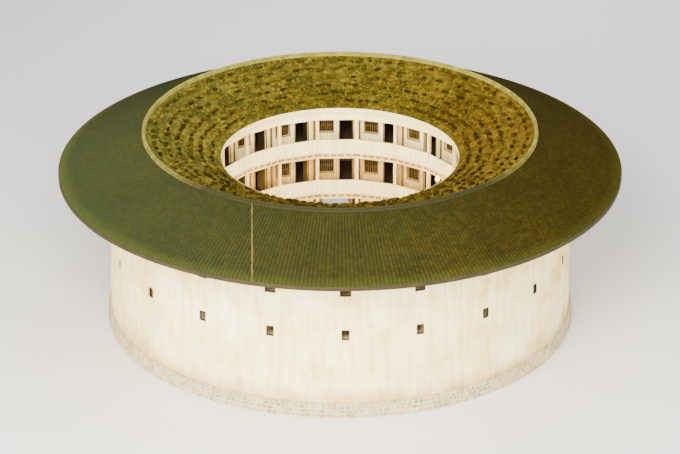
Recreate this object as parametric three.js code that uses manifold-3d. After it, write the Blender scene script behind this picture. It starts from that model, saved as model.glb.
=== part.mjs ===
// A three-storey tulou roundhouse: a battered ring of rammed earth on a stone plinth, a ring roof with
// two slopes, and a timber ring of galleries round an open courtyard. Millimetres, +Z up.
// The origin is on the ground at the centre of the courtyard, and the gate is on the +Y side.
// A bearing is in degrees round the plan, from the front (-Y) by way of the right (+X).
import * as THREE from "three";
import { mergeVertices } from "three/addons/utils/BufferGeometryUtils.js";
import Module from "manifold-3d";

const wasm = await Module();
wasm.setup();

// Driving dimensions of the plan
const BAYS = 20; // rooms in each storey's ring
const ROUND_SIDES = 80; // facets of the earth wall and the roof
const PLINTH = { inner: 13700, outerFoot: 15350, outerTop: 15250 };
const WALL = { outerFoot: 15150, outerTop: 14850, inner: [13800, 13900, 14000] };
const RIDGE_R = 12700;
const EAVE_R = { outer: 18300, inner: 7700 };
const GALLERY_R = 8650; // centre line of the gallery posts
const ROOM_WALL_R = { inner: 9880, outer: 10020 };
const CURB_R = { inner: 8300, outer: 8850 };
const WALL_PLATE_R = { inner: 14150, outer: 14450 };

// Driving heights
const GROUND_FLOOR = 300;
const PLINTH_TOP = 1000;
const FLOOR_DEPTH = 220;
const SECOND_FLOOR = 4500;
const THIRD_FLOOR = 7500;
const TIE_BEAM = { low: 10150, high: 10450, width: 180 };
const WALL_TOP = 11650;
const RIDGE_Z = 13000; // tile surface at the ridge
const OUTER_EAVE_Z = 10500; // tile surface at the outer eave
const INNER_EAVE_Z = 11090; // tile surface at the inner eave
const ROOF_DEPTH = 260; // tiles, battens and rafters together
const RIDGE_PURLIN = { half: 100, low: 12500 };
const PARAPET_HEIGHT = 1000;

// Openings
const OUTER_WINDOWS = [
  { width: 500, low: 5250, high: 5950 },
  { width: 700, low: 8200, high: 9100 },
];
const DOOR = { left: -1100, right: -200, sill: 120, head: 2050 };
const ROOM_WINDOW = { left: 250, right: 1150, sill: 1000, head: 1950 };
const GATE = { halfSlot: 1250, slotTop: 3500, halfWidth: 900, sill: 400, head: 3050 };

const GAP = 0.3; // between pieces that touch
const CUT = 500; // how far a cutter reaches past the wall it cuts
const POST = 200; // side of a gallery post
const BEAM = { half: 90, depth: 200 }; // the ring beam on the gallery posts
const POST_FACE_R = GALLERY_R - POST / 2 - GAP; // seat of the boards in front of the posts
const FLOOR_EDGE_R = GALLERY_R - POST / 2 - 110;
const BAY_ANGLE = 360 / BAYS;
const GATE_BEARING = 180;
const HALF_FACET = 180 / ROUND_SIDES;

const OUTER_FALL = (RIDGE_Z - OUTER_EAVE_Z) / (EAVE_R.outer - RIDGE_R);
const INNER_FALL = (RIDGE_Z - INNER_EAVE_Z) / (RIDGE_R - EAVE_R.inner);

const material = (name, color, roughness) =>
  new THREE.MeshStandardMaterial({ name, color, roughness, metalness: 0 });
const FINISH = {
  earth: material("rammed_earth", 0xd8b77c, 0.95),
  stone: material("river_stone", 0x8d877c, 0.9),
  granite: material("dressed_granite", 0xa7a196, 0.8),
  floor: material("beaten_earth", 0xa58a63, 0.95),
  timber: material("fir_timber", 0x7b5534, 0.75),
  boards: material("fir_boards", 0x94693f, 0.75),
  tile: material("grey_tile", 0x54573f, 0.85),
  ridge: material("lime_mortar", 0xb3ab8c, 0.9),
  lamp: material("lamp_glass", 0xffd680, 0.4),
};

const building = new THREE.Group();

function radians(degrees) {
  return THREE.MathUtils.degToRad(degrees);
}

// Bearings of the bay centres, and of the post lines between the bays
const bayCentres = Array.from({ length: BAYS }, (_, k) => k * BAY_ANGLE);
const postLines = bayCentres.map((bearing) => bearing + BAY_ANGLE / 2);

// The tiled surface at a radius, the underside of the rafters, and the seat of what carries them
function roofSurface(radius) {
  const fall = radius > RIDGE_R ? OUTER_FALL : INNER_FALL;
  return RIDGE_Z - Math.abs(radius - RIDGE_R) * fall;
}
const roofUnderside = (radius) => roofSurface(radius) - ROOF_DEPTH;
const roofSeat = (radius) => roofUnderside(radius) - GAP;

// A geometry as a manifold solid, and a solid as a geometry
function solidOf(geometry) {
  const bare = geometry.index ? geometry.toNonIndexed() : geometry.clone();
  bare.deleteAttribute("normal");
  bare.deleteAttribute("uv");
  const merged = mergeVertices(bare, 1e-3);
  return new wasm.Manifold(
    new wasm.Mesh({
      numProp: 3,
      vertProperties: merged.attributes.position.array,
      triVerts: new Uint32Array(merged.index.array),
    }),
  );
}

function geometryOf(solid) {
  const mesh = solid.getMesh();
  const geometry = new THREE.BufferGeometry();
  geometry.setAttribute("position", new THREE.BufferAttribute(mesh.vertProperties, 3));
  geometry.setIndex(new THREE.BufferAttribute(mesh.triVerts, 1));
  geometry.computeVertexNormals();
  return geometry;
}

function addPiece(name, solid, finish) {
  const mesh = new THREE.Mesh(geometryOf(solid), finish);
  mesh.name = name;
  building.add(mesh);
}

const joined = (solids) => solids.reduce((whole, piece) => whole.add(piece));
const cutBy = (solid, cutters) => cutters.reduce((left, cutter) => left.subtract(cutter), solid);

// A ring turned from a closed profile of [radius, height] points, counter-clockwise in that plane
function ring(profile, sides = ROUND_SIDES, firstBearing = HALF_FACET) {
  const points = [...profile, profile[0]].map(([radius, height]) => new THREE.Vector2(radius, height));
  const turned = new THREE.LatheGeometry(points, sides, radians(firstBearing));
  return solidOf(turned.rotateX(Math.PI / 2));
}

// A ring of straight members, one for each bay, with its corners on the post lines
const bayRing = (profile) => ring(profile, BAYS, BAY_ANGLE / 2);

// The four corners of a plain ring's profile
function bar(inner, outer, low, high) {
  return [
    [inner, low],
    [outer, low],
    [outer, high],
    [inner, high],
  ];
}

// A bar whose top lies under the sloping roof
function roofBar(inner, outer, low) {
  return [
    [inner, low],
    [outer, low],
    [outer, roofSeat(outer)],
    [inner, roofSeat(inner)],
  ];
}

// All the space over the rafters, to cut a piece that meets the roof
function overRoof() {
  const reach = 2 * ROOF_DEPTH;
  return ring([
    [EAVE_R.inner, roofSeat(EAVE_R.inner)],
    [RIDGE_R, roofSeat(RIDGE_R)],
    [RIDGE_R, RIDGE_Z + reach],
    [EAVE_R.inner, RIDGE_Z + reach],
  ]);
}

// A box along the radius at a bearing. Its sides are given across the bearing, left to right.
function radialBox(left, right, near, far, low, high, bearing) {
  const box = new THREE.BoxGeometry(right - left, far - near, high - low);
  box.translate((left + right) / 2, -(near + far) / 2, (low + high) / 2);
  return solidOf(box.rotateZ(radians(bearing)));
}

// A point of the plan at a bearing and radius
function planPoint(bearing, radius) {
  const angle = radians(bearing);
  return new THREE.Vector2(radius * Math.sin(angle), -radius * Math.cos(angle));
}

// A wedge between two bearings, tall enough to cut any ring, with half a gap off each side
function wedge(from, to) {
  const reach = 2 * EAVE_R.outer;
  const middle = (from + to) / 2;
  const apex = planPoint(middle, GAP / 2 / Math.sin(radians((to - from) / 2)));
  const corners = [from, middle, to].map((bearing) => planPoint(bearing, reach).add(apex));
  const outline = new THREE.Shape([apex, ...corners]);
  const prism = new THREE.ExtrudeGeometry(outline, { depth: RIDGE_Z, bevelEnabled: false });
  return solidOf(prism);
}

// A flat ring with a round outer edge and an inner edge that is straight in each bay
function floorRing(inner, outer, low, high) {
  const rim = (sides, first, radius) =>
    Array.from({ length: sides }, (_, k) => planPoint(first + (k * 360) / sides, radius));
  const outline = new THREE.Shape(rim(ROUND_SIDES, HALF_FACET, outer));
  outline.holes.push(new THREE.Path(rim(BAYS, BAY_ANGLE / 2, inner)));
  const slab = new THREE.ExtrudeGeometry(outline, { depth: high - low, bevelEnabled: false });
  return solidOf(slab.translate(0, 0, low));
}

// The four quarters of a ring, counted from a bearing at the front
function quarters(start) {
  return ["front_right", "back_right", "back_left", "front_left"].map((side, k) => (
    { side, from: start + k * 90, to: start + (k + 1) * 90 }));
}

// A ring is one piece where it has no parts, or else one piece from bearing to bearing
function addDivided(name, whole, finish, parts) {
  if (parts.length === 0) addPiece(name, whole, finish);
  for (const { side, from, to } of parts) {
    addPiece(`${name}_${side}`, whole.intersect(wedge(from, to)), finish);
  }
}

// Where the masonry ring is divided: a front bay, three segments on each side, and the gate between them
const segments = [{ name: "front", from: -BAY_ANGLE / 2, to: BAY_ANGLE / 2 }];
for (const [side, sign] of [["right", 1], ["left", -1]]) {
  for (const part of [1, 2, 3]) {
    const near = (3 * part - 2.5) * BAY_ANGLE;
    const far = part === 3 ? GATE_BEARING : near + 3 * BAY_ANGLE;
    const ends = [sign * near, sign * far].sort((a, b) => a - b);
    segments.push({ name: `${side}_${part}`, from: ends[0], to: ends[1] });
  }
}

const gateSlot = radialBox(
  -GATE.halfSlot, GATE.halfSlot, PLINTH.inner - CUT, PLINTH.outerFoot + CUT, -CUT, RIDGE_Z, GATE_BEARING);

function addPlinth() {
  const whole = ring([
    [PLINTH.inner, 0],
    [PLINTH.outerFoot, 0],
    [PLINTH.outerTop, PLINTH_TOP],
    [PLINTH.inner, PLINTH_TOP],
  ]).subtract(gateSlot);
  for (const { name, from, to } of segments) {
    addPiece(`stone_plinth_${name}`, whole.intersect(wedge(from, to)), FINISH.stone);
  }
}

function windowCutters() {
  return bayCentres.flatMap((bearing) =>
    OUTER_WINDOWS.map(({ width, low, high }) =>
      radialBox(-width / 2, width / 2, WALL.inner[0] - CUT, WALL.outerFoot + CUT, low, high, bearing)));
}

function tieBeamCutters() {
  const half = TIE_BEAM.width / 2 + GAP;
  return postLines.map((bearing) =>
    radialBox(-half, half, WALL.inner[2] - CUT, WALL.outerFoot + CUT,
      TIE_BEAM.low - GAP, TIE_BEAM.high + GAP, bearing));
}

function addEarthWall() {
  const secondLedge = SECOND_FLOOR - FLOOR_DEPTH;
  const thirdLedge = THIRD_FLOOR - FLOOR_DEPTH;
  const [ground, second, third] = WALL.inner;
  const whole = ring([
    [ground, PLINTH_TOP + GAP],
    [WALL.outerFoot, PLINTH_TOP + GAP],
    [WALL.outerTop, WALL_TOP],
    [third, WALL_TOP],
    [third, thirdLedge],
    [second, thirdLedge],
    [second, secondLedge],
    [ground, secondLedge],
  ]);
  const pierced = cutBy(whole, [...windowCutters(), ...tieBeamCutters()]);
  const beside = pierced.subtract(gateSlot);
  for (const { name, from, to } of segments) {
    addPiece(`earth_wall_${name}`, beside.intersect(wedge(from, to)), FINISH.earth);
  }
  const overGate = radialBox(
    GAP - GATE.halfSlot, GATE.halfSlot - GAP, WALL.inner[0] - CUT, WALL.outerFoot + CUT,
    GATE.slotTop + GAP, RIDGE_Z, GATE_BEARING);
  addPiece("earth_wall_over_gate", pierced.intersect(overGate), FINISH.earth);
}

function addGate() {
  const jamb = { back: 14900, face: 15400 };
  const outside = GATE.halfSlot - GAP;
  const surround = radialBox(-outside, outside, jamb.back, jamb.face, 0, GATE.slotTop, GATE_BEARING);
  const doorway = radialBox(
    -GATE.halfWidth, GATE.halfWidth, jamb.back - CUT, jamb.face + CUT, GATE.sill, GATE.head, GATE_BEARING);
  addPiece("gate_frame", surround.subtract(doorway), FINISH.granite);

  // Each leaf stands open along its side of the passage
  const leaf = { thickness: 70, width: 930, offset: 1100, top: GATE.head + 30 };
  const leafFar = jamb.back - GAP;
  for (const [side, sign] of [["left", -1], ["right", 1]]) {
    const edges = [sign * leaf.offset, sign * (leaf.offset + leaf.thickness)].sort((a, b) => a - b);
    addPiece(
      `gate_leaf_${side}`,
      radialBox(...edges, leafFar - leaf.width, leafFar, GROUND_FLOOR + GAP, leaf.top, GATE_BEARING),
      FINISH.timber);
  }

  const passageStart = PLINTH.inner + 10;
  addPiece(
    "gate_passage_floor",
    radialBox(-outside, outside, passageStart, jamb.back - GAP, 0, GROUND_FLOOR, GATE_BEARING),
    FINISH.granite);
  const step = { tread: 450, rise: 170 };
  addPiece(
    "gate_step",
    radialBox(-outside, outside, jamb.face + GAP, jamb.face + step.tread, 0, step.rise, GATE_BEARING),
    FINISH.granite);
}

function addGround() {
  addPiece("courtyard_curb", bayRing(bar(CURB_R.inner, CURB_R.outer, 0, GROUND_FLOOR)), FINISH.granite);
  addPiece(
    "ground_floor",
    floorRing(CURB_R.outer + GAP, PLINTH.inner - GAP, 0, GROUND_FLOOR),
    FINISH.floor);
}

// Posts at every post line, tied by a ring beam at the top
function addGalleryPosts(name, floor, top) {
  const beam = bayRing(bar(GALLERY_R - BEAM.half, GALLERY_R + BEAM.half, top - BEAM.depth, top));
  const posts = postLines.map((bearing) =>
    radialBox(-POST / 2, POST / 2, GALLERY_R - POST / 2, GALLERY_R + POST / 2, floor + GAP, top, bearing));
  addPiece(name, joined([beam, ...posts]), FINISH.timber);
}

// A boarded parapet in front of the posts, with a thicker cap rail
function addParapet(name, floor) {
  const face = POST_FACE_R;
  const board = 60;
  const cap = { out: 100, depth: 80 };
  const top = floor + PARAPET_HEIGHT;
  addPiece(
    name,
    bayRing([
      [face - board, floor + GAP],
      [face, floor + GAP],
      [face, top],
      [face - cap.out, top],
      [face - cap.out, top - cap.depth],
      [face - board, top - cap.depth],
    ]),
    FINISH.boards);
}

// The wall between a storey's gallery and its rooms, with a door and a window in each bay,
// and the doors on their sill. Either can be divided into parts.
function addRoomFront(storey, floor, ceiling, bays, wallParts, doorParts) {
  const { inner, outer } = ROOM_WALL_R;
  const hole = ({ left, right, sill, head }, bearing) =>
    radialBox(left, right, inner - CUT, outer + CUT, floor + sill, floor + head, bearing);
  const wall = bayRing(bar(inner, outer, floor + DOOR.sill + GAP, ceiling - GAP));
  const holes = bays.flatMap((bearing) => [hole(DOOR, bearing), hole(ROOM_WINDOW, bearing)]);
  addDivided(`${storey}_room_wall`, cutBy(wall, holes), FINISH.boards, wallParts);

  // Each leaf turns on its left edge, which stands in a socket of the sill, and is open into the room
  const leaf = { thickness: 45, width: 850, clearance: 5, socket: 20 };
  const proud = 10;
  const sill = bayRing(bar(inner - proud, outer + proud, floor + GAP, floor + DOOR.sill));
  const pivot = inner * Math.cos(radians(BAY_ANGLE / 2)) + 90;
  const leaves = bays.map((bearing) =>
    radialBox(
      DOOR.left + leaf.clearance, DOOR.left + leaf.clearance + leaf.thickness, pivot, pivot + leaf.width,
      floor + DOOR.sill - leaf.socket, floor + DOOR.head - leaf.socket, bearing));
  addDivided(`${storey}_room_doors`, joined([sill, ...leaves]), FINISH.timber, doorParts);
}

function addUpperFloors() {
  for (const [name, top, wallFace] of [
    ["second_floor", SECOND_FLOOR, WALL.inner[1]],
    ["third_floor", THIRD_FLOOR, WALL.inner[2]],
  ]) {
    const underside = top - FLOOR_DEPTH + GAP;
    addPiece(name, floorRing(FLOOR_EDGE_R, wallFace - GAP, underside, top), FINISH.boards);
  }
}

function addStoreys() {
  // Quarters that meet on post lines. The ground storey is open in the gate's bay.
  const byPosts = quarters(-BAY_ANGLE / 2);
  const [frontRight, backRight, backLeft, frontLeft] = byPosts;
  const besideHall = [frontRight, backRight, { ...backLeft, from: backLeft.from + BAY_ANGLE }, frontLeft];
  const withoutGate = bayCentres.filter((bearing) => bearing !== GATE_BEARING);
  addGalleryPosts("ground_gallery_posts", GROUND_FLOOR, SECOND_FLOOR - FLOOR_DEPTH);
  addRoomFront("ground", GROUND_FLOOR, SECOND_FLOOR - FLOOR_DEPTH, withoutGate, besideHall, besideHall);
  addUpperFloors();
  addGalleryPosts("second_gallery_posts", SECOND_FLOOR, THIRD_FLOOR - FLOOR_DEPTH);
  addParapet("second_gallery_parapet", SECOND_FLOOR);
  addRoomFront("second", SECOND_FLOOR, THIRD_FLOOR - FLOOR_DEPTH, bayCentres, [], byPosts);
  addGalleryPosts("third_gallery_posts", THIRD_FLOOR, TIE_BEAM.low - GAP);
  addParapet("third_gallery_parapet", THIRD_FLOOR);
  addRoomFront("third", THIRD_FLOOR, TIE_BEAM.low, bayCentres, [], []);
}

// Beams through the wall carry two purlins under the wide outer eave, and posts under the ridge.
// Each quarter of the ring is one frame, divided over the middle of a bay.
function addTieBeams() {
  const eavePurlin = { inner: 17350, outer: 17550 };
  const strutPurlin = { inner: 15900, outer: 16080, depth: 220 };
  const half = TIE_BEAM.width / 2;
  const postHalf = half - 10;
  const tail = 150;
  const setBack = 20;
  const inside = GALLERY_R - BEAM.half;
  const strutLow = roofSeat(strutPurlin.outer) - strutPurlin.depth;
  const lap = 50;
  const beams = postLines.flatMap((bearing) => [
    radialBox(-half, half, inside, eavePurlin.outer + tail, TIE_BEAM.low, TIE_BEAM.high, bearing),
    radialBox(-postHalf, postHalf, strutPurlin.inner + setBack, strutPurlin.outer - setBack,
      TIE_BEAM.high - lap, strutLow + lap, bearing),
    radialBox(-postHalf, postHalf, RIDGE_R - postHalf, RIDGE_R + postHalf,
      TIE_BEAM.high - lap, RIDGE_PURLIN.low - GAP, bearing),
  ]);
  const purlins = [
    ring(roofBar(eavePurlin.inner, eavePurlin.outer, TIE_BEAM.high - lap)),
    ring(roofBar(strutPurlin.inner, strutPurlin.outer, strutLow)),
  ];
  addDivided("tie_beams", joined([...purlins, ...beams]), FINISH.timber, quarters(0));
}

function addRidgePurlin() {
  const { low, half } = RIDGE_PURLIN;
  const purlin = ring([
    [RIDGE_R - half, low],
    [RIDGE_R + half, low],
    [RIDGE_R + half, roofSeat(RIDGE_R + half)],
    [RIDGE_R, roofSeat(RIDGE_R)],
    [RIDGE_R - half, roofSeat(RIDGE_R - half)],
  ]);
  addPiece("ridge_purlin", purlin, FINISH.timber);
}

function addWallPlate() {
  const { inner, outer } = WALL_PLATE_R;
  addPiece("wall_plate", ring(roofBar(inner, outer, WALL_TOP + GAP)), FINISH.timber);
}

// The frieze hangs on the faces of the posts and beam ends, and meets the roof
function addFrieze() {
  const board = 60;
  const low = TIE_BEAM.low - BEAM.depth;
  const boards = bayRing(bar(POST_FACE_R - board, POST_FACE_R, low, WALL_TOP));
  addPiece("gallery_frieze", boards.subtract(overRoof()), FINISH.boards);
}

// The two tiled slopes, each with a board along its eave
function addSlopes() {
  const board = 38;
  const lip = 15;
  const outerEdge = EAVE_R.outer - board - GAP;
  const innerEdge = EAVE_R.inner + board + GAP;
  const deck = (from, to) =>
    ring([
      [from, roofUnderside(from)],
      [to, roofUnderside(to)],
      [to, roofSurface(to)],
      [from, roofSurface(from)],
    ]);
  const fascia = (inner, edge) =>
    ring(bar(inner, inner + board, roofUnderside(edge) - lip, roofSurface(edge) + lip));
  addPiece("roof_outer_slope", deck(RIDGE_R + GAP / 2, outerEdge), FINISH.tile);
  addPiece("roof_inner_slope", deck(innerEdge, RIDGE_R - GAP / 2), FINISH.tile);
  addPiece("outer_eave_fascia", fascia(EAVE_R.outer - board, outerEdge), FINISH.timber);
  addPiece("inner_eave_fascia", fascia(EAVE_R.inner, innerEdge), FINISH.timber);
}

function addRidgeCap() {
  const cap = { foot: 140, top: 100, height: 200 };
  const seat = (radius) => roofSurface(radius) + GAP;
  addPiece(
    "ridge_cap",
    ring([
      [RIDGE_R - cap.foot, seat(RIDGE_R - cap.foot)],
      [RIDGE_R, seat(RIDGE_R)],
      [RIDGE_R + cap.foot, seat(RIDGE_R + cap.foot)],
      [RIDGE_R + cap.top, RIDGE_Z + cap.height],
      [RIDGE_R - cap.top, RIDGE_Z + cap.height],
    ]),
    FINISH.ridge);
}

// One lamp hangs from the edge of the third floor, towards the back right
function addLamp() {
  const bearing = 126;
  const floorEdge = FLOOR_EDGE_R * Math.cos(radians(BAY_ANGLE / 2));
  const arm = { length: 140, low: THIRD_FLOOR - 150, high: THIRD_FLOOR - 90 };
  const globe = { radius: 150, height: 380, sides: 16 };
  const centre = floorEdge - arm.length;
  const glass = new THREE.CylinderGeometry(globe.radius * 0.7, globe.radius, globe.height, globe.sides);
  glass.rotateX(Math.PI / 2).translate(0, -centre, arm.low - globe.height / 2 + 10);
  const bracket = radialBox(-30, 30, centre, floorEdge - GAP, arm.low, arm.high, bearing);
  addPiece("gallery_lamp", solidOf(glass.rotateZ(radians(bearing))).add(bracket), FINISH.lamp);
}

addPlinth();
addEarthWall();
addGate();
addGround();
addStoreys();
addTieBeams();
addRidgePurlin();
addWallPlate();
addFrieze();
addSlopes();
addRidgeCap();
addLamp();

export default building;
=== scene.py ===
# %% [markdown]
# # A tulou roundhouse
# A tulou is a fortified house of rammed earth. This one is a ring: a thick earth wall on a river-stone
# plinth, three storeys of timber rooms and galleries inside it, and a ring roof with two slopes of grey tile.
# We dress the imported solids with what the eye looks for: tiles, weight stones, earth layers, boards and bars.
# Everything is in metres. A bearing is an angle round the plan: 0 is the front (-Y), a quarter turn is +X.

# %% Load the solids
import math
from functools import partial
import bmesh
import bpy
import numpy as np
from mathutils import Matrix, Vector


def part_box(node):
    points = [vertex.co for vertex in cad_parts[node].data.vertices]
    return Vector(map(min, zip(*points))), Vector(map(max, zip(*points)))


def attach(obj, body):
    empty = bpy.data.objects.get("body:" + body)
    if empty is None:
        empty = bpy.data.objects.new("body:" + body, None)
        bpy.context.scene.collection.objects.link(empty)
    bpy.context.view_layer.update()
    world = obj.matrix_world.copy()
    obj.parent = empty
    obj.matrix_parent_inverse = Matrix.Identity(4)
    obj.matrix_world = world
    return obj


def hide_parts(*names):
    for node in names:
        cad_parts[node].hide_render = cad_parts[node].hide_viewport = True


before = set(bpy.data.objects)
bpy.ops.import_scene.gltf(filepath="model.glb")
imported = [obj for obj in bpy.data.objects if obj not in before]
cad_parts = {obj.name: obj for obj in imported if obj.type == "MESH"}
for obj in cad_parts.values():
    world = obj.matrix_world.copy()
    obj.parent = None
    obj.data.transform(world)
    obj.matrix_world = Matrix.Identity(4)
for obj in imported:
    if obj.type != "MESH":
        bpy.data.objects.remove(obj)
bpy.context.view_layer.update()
rng = np.random.default_rng(18)

# %% [markdown]
# ## The camera
# The photograph looks down on the house from far away, about 25 degrees above the horizon. A wide lens close
# by would swell the near eave. A long lens from far off keeps the photograph's flat perspective, and lets the
# house fill the frame.

# %% Camera
CAMERA_DISTANCE, FOCAL_LENGTH = 206.0, 166  # metres, millimetres


def toward(bearing, elevation):
    """The direction from the house to a place at that bearing and elevation, in degrees."""
    b, e = math.radians(bearing), math.radians(elevation)
    return Vector((math.sin(b) * math.cos(e), -math.cos(b) * math.cos(e), math.sin(e)))


def facing_house(direction):
    """The rotation of what stands in a direction and looks back at the house."""
    return (-direction).to_track_quat("-Z", "Y").to_euler()


def put(name, data):
    """A new object in the scene, made of a mesh, a camera's data or a light's."""
    thing = bpy.data.objects.new(name, data)
    bpy.context.scene.collection.objects.link(thing)
    return thing


viewpoint = toward(-1.3, 25.2)
camera_data = bpy.data.cameras.new("camera")
camera_data.lens, camera_data.clip_end = FOCAL_LENGTH, 2000
camera = put("camera", camera_data)
camera.location = Vector((0, 0, 5.9)) + CAMERA_DISTANCE * viewpoint
camera.rotation_euler = facing_house(viewpoint)
bpy.context.scene.camera = camera
print("camera at", [round(v, 1) for v in camera.location])

# %% [markdown]
# ## Soft studio light
# A sun would draw hard shadows under the wide eaves, so these lamps are large squares. Two low ones, left and
# right of the camera, reach the wall. A higher one shines over the near ridge into the far gallery, and a
# weak one at the back models the roof. A small warm one in the courtyard stands for the lit galleries of the
# photograph; the camera sees its light but not the lamp.

# %% Lights
FAR_LIGHTS = {  # bearing, elevation, distance, size, power, colour
    "left_key_light": (-38, 12, 95, 40, 205000, (1.0, 0.97, 0.89)),
    "right_fill_light": (50, 12, 95, 40, 120000, (1.0, 0.97, 0.89)),
    "gallery_light": (-8, 33, 100, 36, 260000, (1.0, 0.96, 0.86)),
    "back_light": (165, 40, 90, 60, 60000, (1.0, 0.98, 0.94)),
}


def add_light(name, size, power, colour, location, rotation):
    data = bpy.data.lights.new(name, "AREA")
    data.size, data.energy, data.color = size, power, colour
    light = put(name, data)
    light.location, light.rotation_euler = location, rotation
    return light


for name, (bearing, elevation, distance, size, power, colour) in FAR_LIGHTS.items():
    side = toward(bearing, elevation)
    add_light(name, size, power, colour, Vector((0, 0, 6)) + distance * side, facing_house(side))
courtyard_light = add_light("courtyard_light", 5, 4200, (1.0, 0.88, 0.66), (0, -4.5, 8.0),
                            (math.radians(92), 0, 0))
courtyard_light.visible_camera = False
world = bpy.data.worlds.new("studio")
world.use_nodes = True
background = world.node_tree.nodes["Background"]
background.inputs["Color"].default_value = (0.95, 0.96, 1.0, 1)
background.inputs["Strength"].default_value = 0.6
bpy.context.scene.world = world
print("lights:", len(FAR_LIGHTS) + 1)

# %% [markdown]
# ## Helpers for materials
# Colours are picked as sRGB hex values, and shaders calculate in linear light, so one function converts them.
# Another gives a pattern's scale from the size of its marks. A third adds any kind of node, so each finish
# below reads as a list of its layers. A map range is listed as a value, the range it has and the range it
# gets. Marks too fine to show from this far, such as grit or grain, are drawn coarser; a comment says so.

# %% Material helpers
MIX = {"data_type": "RGBA", "output": 2}  # of colours; inputs 0, 6 and 7 are the share and the two colours
MULTIPLY = {**MIX, "blend_type": "MULTIPLY"}


def linear(hex_colour):
    """An sRGB hex value such as "8a7f5c" as linear red, green, blue and alpha."""
    parts = [int(hex_colour[k:k + 2], 16) / 255 for k in (0, 2, 4)]
    return tuple(v / 12.92 if v <= 0.04045 else ((v + 0.055) / 1.055) ** 2.4 for v in parts) + (1.0,)


def per_metre(size):
    """The scale of a pattern whose marks are that many millimetres across."""
    return 1000 / size


def add_node(tree, kind, inputs, output=0, stops=(), **settings):
    """Adds a node with its settings, sets or links its inputs, and gives one of its outputs. Inputs go by
    name, or as a list in the node's own order. A ramp takes stops, as (position, hex colour or grey)."""
    node = tree.nodes.new("ShaderNode" + kind)
    for name, value in settings.items():
        setattr(node, name, value)
    for name, value in inputs.items() if isinstance(inputs, dict) else enumerate(inputs):
        if isinstance(value, bpy.types.NodeSocket):
            tree.links.new(value, node.inputs[name])
        else:
            node.inputs[name].default_value = value
    stops = list(stops)
    if stops:
        elements = node.color_ramp.elements
        while len(elements) < len(stops):
            elements.new(0.5)
        for element, (position, value) in zip(elements, stops):
            element.position = position
            element.color = linear(value) if isinstance(value, str) else (value, value, value, 1)
    return node.outputs[output]


print("a mark of 35 mm has the scale", round(per_metre(35), 1))

# %% [markdown]
# ## From a plain shader to a finish
# Each finish starts from Blender's general shader with a typical roughness and IOR for its material; dust and
# weather take the gloss down. It ends with a colour and a relief, which bends the light as small bumps do
# without adding faces. The house is a ring, so a pattern laid along x, y and z would slide across it. We
# work out bearing, radius and height from the object's own coordinates, and lay most patterns along those.

# %% Finish helpers
def new_finish(name, roughness, ior=1.5, gloss=0.5):
    """A material, its object coordinates, and the function that adds nodes to it."""
    finish = bpy.data.materials.new(name)
    finish.use_nodes = True
    shader = finish.node_tree.nodes["Principled BSDF"]
    for socket, value in (("Roughness", roughness), ("IOR", ior), ("Specular IOR Level", gloss)):
        shader.inputs[socket].default_value = value
    add = partial(add_node, finish.node_tree)
    return finish, add("TexCoord", {}, "Object"), add


def surface(finish, add, colour, relief, depth):
    """Gives a finish its colour, and relief of that depth in metres from a height between 0 and 1."""
    links, shader = finish.node_tree.links, finish.node_tree.nodes["Principled BSDF"]
    links.new(colour, shader.inputs["Base Color"])
    links.new(add("Bump", {"Height": relief, "Distance": depth, "Strength": 1.0}), shader.inputs["Normal"])
    return finish


def ring_place(add, place):
    """Bearing in radians, radius and height of a point, from its object coordinates."""
    x = add("SeparateXYZ", [place], "X")
    y, height = (x.node.outputs[axis] for axis in "YZ")
    back = add("Math", [y, -1.0], operation="MULTIPLY")
    bearing = add("Math", [x, back], operation="ARCTAN2")
    flat = add("VectorMath", [place, (1, 1, 0)], operation="MULTIPLY")
    return bearing, add("VectorMath", [flat], "Value", operation="LENGTH"), height


print("finish helpers ready")

# %% [markdown]
# ## Helpers for shapes
# Most of the building repeats round the ring. Modifiers could repeat it, but plain number arrays are quick
# and need no clean-up. Nearly every shape is a tube skinned over rings of points: a profile turned round the
# axis, a member with four corners at each end, or a row of tiles. Each kind of thing is one joined mesh.

# %% Shape helpers
BAYS = 20
BAY = 2 * math.pi / BAYS
bay_centres = np.arange(BAYS) * BAY


def point(bearing, radius, height, lateral=0.0):
    """x, y and z along a bearing, shifted sideways (to the right, seen from outside). Takes arrays too."""
    radius, lateral = np.asarray(radius), np.asarray(lateral)
    x = radius * np.sin(bearing) + lateral * np.cos(bearing)
    y = -radius * np.cos(bearing) + lateral * np.sin(bearing)
    return np.stack(np.broadcast_arrays(x, y, height), -1)


def tubes(rings, closed=False):
    """Points and faces of tubes over rings of points, shaped (tube, ring, point, 3). Their ends are capped,
    unless the last ring joins the first."""
    number, count, points = rings.shape[:3]
    t, k, e = np.meshgrid(range(number), range(count if closed else count - 1), range(points), indexing="ij")
    start = t * count * points
    here, there = start + k * points, start + (k + 1) % count * points
    beside = (e + 1) % points
    faces = np.stack([here + e, here + beside, there + beside, there + e], -1).reshape(-1, 4).tolist()
    if not closed:
        first = np.arange(number)[:, None] * count * points + np.arange(points)
        faces += first[:, ::-1].tolist() + (first + (count - 1) * points).tolist()
    return rings.reshape(-1, 3), faces


def turned(profile, sides):
    """A closed profile of (radius, height) points turned round the axis."""
    radius, height = np.asarray(profile, float).T
    return tubes(point(np.arange(sides)[:, None] * 2 * math.pi / sides, radius, height)[None], closed=True)


def members(rows):
    """Straight members along a radius. Each row is bearing, left, right, near, far, and the low and high
    edges at the near end and at the far end."""
    b, left, right, near, far, low_n, high_n, low_f, high_f = np.asarray(rows, float).T
    ends = []
    for radius, low, high in ((near, low_n, high_n), (far, low_f, high_f)):
        corners = ((left, low), (right, low), (right, high), (left, high))
        ends.append(np.stack([point(b, radius, height, side) for side, height in corners], 1))
    return tubes(np.stack(ends, 1))


def level(bearing, left, right, near, far, low, high):
    """A member with level edges, as a row for members."""
    return (bearing, left, right, near, far, low, high, low, high)


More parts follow.
